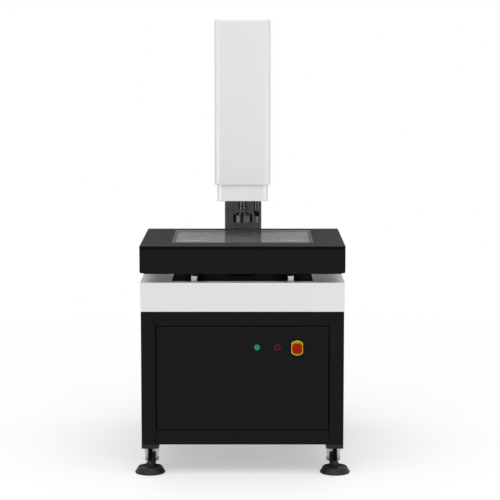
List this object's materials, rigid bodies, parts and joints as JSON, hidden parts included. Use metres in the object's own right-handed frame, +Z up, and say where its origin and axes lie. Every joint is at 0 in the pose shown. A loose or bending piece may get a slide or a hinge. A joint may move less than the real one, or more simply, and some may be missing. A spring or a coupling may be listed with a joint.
{
  "type": "vision measuring machine",
  "caption": "Floor-standing optical measuring machine: granite base on a cabinet, glass cross table with X and Y slides, and a column-mounted zoom camera head with a touch probe.",
  "frame": {"origin": "on the floor, midway between the four feet, below the middle of the cabinet", "axes": "+Z up, +X to the operator's right when facing the door, +Y from the door to the back"},
  "size_m": [0.749, 0.949, 1.568],
  "materials": {
    "black_paint": "fine black powder coat",
    "white_paint": "smooth white paint",
    "granite": "ground black granite",
    "table_metal": "hard anodised dark grey",
    "glass": "clear polished glass",
    "rail_steel": "ground and polished",
    "carriage_steel": "satin",
    "screw_steel": "ground",
    "motor_black": "satin black",
    "arm_paint": "grey primer",
    "saddle_metal": "milled and anodised",
    "lens_metal": "black anodised",
    "light_metal": "black anodised, white diffuser",
    "stylus_steel": "polished",
    "bezel_chrome": "bright",
    "green_plastic": "gloss",
    "red_plastic": "gloss",
    "estop_yellow": "gloss",
    "estop_red": "gloss",
    "black_plastic": "matt",
    "pad_rubber": "matt",
    "caster_chrome": "zinc plated",
    "caster_tyre": "matt black",
    "foot_metal": "black, steel stem"
  },
  "bodies": {
    "machine_base": {"cabinet_posts": "black_paint", "cabinet_rails": "black_paint", "corner_plates": "black_paint", "floor_panel": "black_paint", "side_panels": "black_paint", "rear_panel": "black_paint", "power_inlet": "black_plastic", "controller": "black_paint", "base_pads": "pad_rubber", "granite_base": "granite", "base_cover": "white_paint", "y_rails": "rail_steel", "y_motor": "motor_black", "backlight": "light_metal", "column": "granite", "head_arm": "arm_paint", "z_cover": "white_paint", "z_rails": "rail_steel", "z_motor": "motor_black"},
    "y_screw": {"y_screw": "screw_steel"},
    "saddle": {"saddle_frame": "saddle_metal", "y_carriages": "carriage_steel", "x_rails": "rail_steel", "x_motor": "motor_black"},
    "x_screw": {"x_screw": "screw_steel"},
    "table": {"table_top": "table_metal", "table_skirt": "black_paint", "stage_glass": "glass", "x_carriages": "carriage_steel"},
    "z_screw": {"z_screw": "screw_steel"},
    "z_head": {"z_slide": "saddle_metal", "z_carriages": "carriage_steel", "head_shroud": "white_paint", "camera": "lens_metal", "zoom_lens": "lens_metal", "ring_light": "lens_metal", "touch_probe": "lens_metal"},
    "zoom_ring": {"zoom_ring": "lens_metal"},
    "stylus_seat": {"stylus_seat": "stylus_steel"},
    "stylus": {"stylus": "stylus_steel"},
    "door": {"door_panel": "black_paint", "button_bezels": "bezel_chrome", "estop_guard": "estop_yellow"},
    "green_button": {"green_button": "green_plastic"},
    "red_button": {"red_button": "red_plastic"},
    "estop_stem": {"estop_stem": "black_plastic"},
    "estop_head": {"estop_head": "estop_red"},
    "caster_fork_front_left": {"caster_fork_front_left": "caster_chrome"},
    "caster_wheel_front_left": {"caster_wheel_front_left": "caster_tyre"},
    "foot_front_left": {"foot_front_left": "foot_metal"},
    "caster_fork_rear_left": {"caster_fork_rear_left": "caster_chrome"},
    "caster_wheel_rear_left": {"caster_wheel_rear_left": "caster_tyre"},
    "foot_rear_left": {"foot_rear_left": "foot_metal"},
    "caster_fork_front_right": {"caster_fork_front_right": "caster_chrome"},
    "caster_wheel_front_right": {"caster_wheel_front_right": "caster_tyre"},
    "foot_front_right": {"foot_front_right": "foot_metal"},
    "caster_fork_rear_right": {"caster_fork_rear_right": "caster_chrome"},
    "caster_wheel_rear_right": {"caster_wheel_rear_right": "caster_tyre"},
    "foot_rear_right": {"foot_rear_right": "foot_metal"}
  },
  "joints": [
    {"name": "table_y_slide", "type": "slide", "parent": "machine_base", "child": "saddle", "axis": [0, 1, 0], "range_m": [-0.15, 0.15]},
    {"name": "y_screw_spin", "type": "hinge", "parent": "machine_base", "child": "y_screw", "pos_m": [0.1, 0, 0.692], "axis": [0, 1, 0], "range_deg": [-5400, 5400]},
    {"name": "table_x_slide", "type": "slide", "parent": "saddle", "child": "table", "axis": [1, 0, 0], "range_m": [-0.2, 0.2]},
    {"name": "x_screw_spin", "type": "hinge", "parent": "saddle", "child": "x_screw", "pos_m": [0, -0.038, 0.728], "axis": [1, 0, 0], "range_deg": [-7200, 7200]},
    {"name": "head_z_slide", "type": "slide", "parent": "machine_base", "child": "z_head", "axis": [0, 0, 1], "range_m": [-0.045, 0.155]},
    {"name": "z_screw_spin", "type": "hinge", "parent": "machine_base", "child": "z_screw", "pos_m": [0, -0.074, 1.2], "axis": [0, 0, 1], "range_deg": [-3240, 11160]},
    {"name": "zoom_ring_turn", "type": "hinge", "parent": "z_head", "child": "zoom_ring", "pos_m": [0, -0.2175, 1.0175], "axis": [0, 0, 1], "range_deg": [0, 150]},
    {"name": "stylus_tilt_x", "type": "hinge", "parent": "z_head", "child": "stylus_seat", "pos_m": [0.051, -0.2175, 0.881], "axis": [1, 0, 0], "range_deg": [-14, 14], "stiffness_Nm_per_rad": 0.01},
    {"name": "stylus_tilt_y", "type": "hinge", "parent": "stylus_seat", "child": "stylus", "pos_m": [0.051, -0.2175, 0.881], "axis": [0, 1, 0], "range_deg": [-14, 14], "stiffness_Nm_per_rad": 0.01},
    {"name": "door_swing", "type": "hinge", "parent": "machine_base", "child": "door", "pos_m": [-0.283, -0.441, 0.3375], "axis": [0, 0, -1], "range_deg": [0, 110]},
    {"name": "green_button_press", "type": "slide", "parent": "door", "child": "green_button", "axis": [0, 1, 0], "range_m": [0, 0.003], "stiffness_N_per_m": 800, "springref_m": -0.002},
    {"name": "red_button_press", "type": "slide", "parent": "door", "child": "red_button", "axis": [0, 1, 0], "range_m": [0, 0.003], "stiffness_N_per_m": 800, "springref_m": -0.002},
    {"name": "estop_push", "type": "slide", "parent": "door", "child": "estop_stem", "axis": [0, 1, 0], "range_m": [0, 0.005]},
    {"name": "estop_twist", "type": "hinge", "parent": "estop_stem", "child": "estop_head", "pos_m": [0.1885, -0.46, 0.4445], "axis": [0, 1, 0], "range_deg": [0, 45], "stiffness_Nm_per_rad": 0.05},
    {"name": "caster_swivel_front_left", "type": "hinge", "parent": "machine_base", "child": "caster_fork_front_left", "pos_m": [-0.32, -0.322, 0.086], "axis": [0, 0, 1], "continuous": true},
    {"name": "wheel_roll_front_left", "type": "hinge", "parent": "caster_fork_front_left", "child": "caster_wheel_front_left", "pos_m": [-0.32, -0.342, 0.031], "axis": [1, 0, 0], "continuous": true},
    {"name": "foot_screw_front_left", "type": "slide", "parent": "machine_base", "child": "foot_front_left", "axis": [0, 0, 1], "range_m": [-0.02, 0.01]},
    {"name": "caster_swivel_rear_left", "type": "hinge", "parent": "machine_base", "child": "caster_fork_rear_left", "pos_m": [-0.32, 0.322, 0.086], "axis": [0, 0, 1], "continuous": true},
    {"name": "wheel_roll_rear_left", "type": "hinge", "parent": "caster_fork_rear_left", "child": "caster_wheel_rear_left", "pos_m": [-0.32, 0.342, 0.031], "axis": [1, 0, 0], "continuous": true},
    {"name": "foot_screw_rear_left", "type": "slide", "parent": "machine_base", "child": "foot_rear_left", "axis": [0, 0, 1], "range_m": [-0.02, 0.01]},
    {"name": "caster_swivel_front_right", "type": "hinge", "parent": "machine_base", "child": "caster_fork_front_right", "pos_m": [0.32, -0.322, 0.086], "axis": [0, 0, 1], "continuous": true},
    {"name": "wheel_roll_front_right", "type": "hinge", "parent": "caster_fork_front_right", "child": "caster_wheel_front_right", "pos_m": [0.32, -0.342, 0.031], "axis": [1, 0, 0], "continuous": true},
    {"name": "foot_screw_front_right", "type": "slide", "parent": "machine_base", "child": "foot_front_right", "axis": [0, 0, 1], "range_m": [-0.02, 0.01]},
    {"name": "caster_swivel_rear_right", "type": "hinge", "parent": "machine_base", "child": "caster_fork_rear_right", "pos_m": [0.32, 0.322, 0.086], "axis": [0, 0, 1], "continuous": true},
    {"name": "wheel_roll_rear_right", "type": "hinge", "parent": "caster_fork_rear_right", "child": "caster_wheel_rear_right", "pos_m": [0.32, 0.342, 0.031], "axis": [1, 0, 0], "continuous": true},
    {"name": "foot_screw_rear_right", "type": "slide", "parent": "machine_base", "child": "foot_rear_right", "axis": [0, 0, 1], "range_m": [-0.02, 0.01]}
  ],
  "couplings": [
    {"joint": "y_screw_spin", "follows": "table_y_slide", "rad_per_m": 628.32},
    {"joint": "x_screw_spin", "follows": "table_x_slide", "rad_per_m": 628.32},
    {"joint": "z_screw_spin", "follows": "head_z_slide", "rad_per_m": 1256.6}
  ]
}
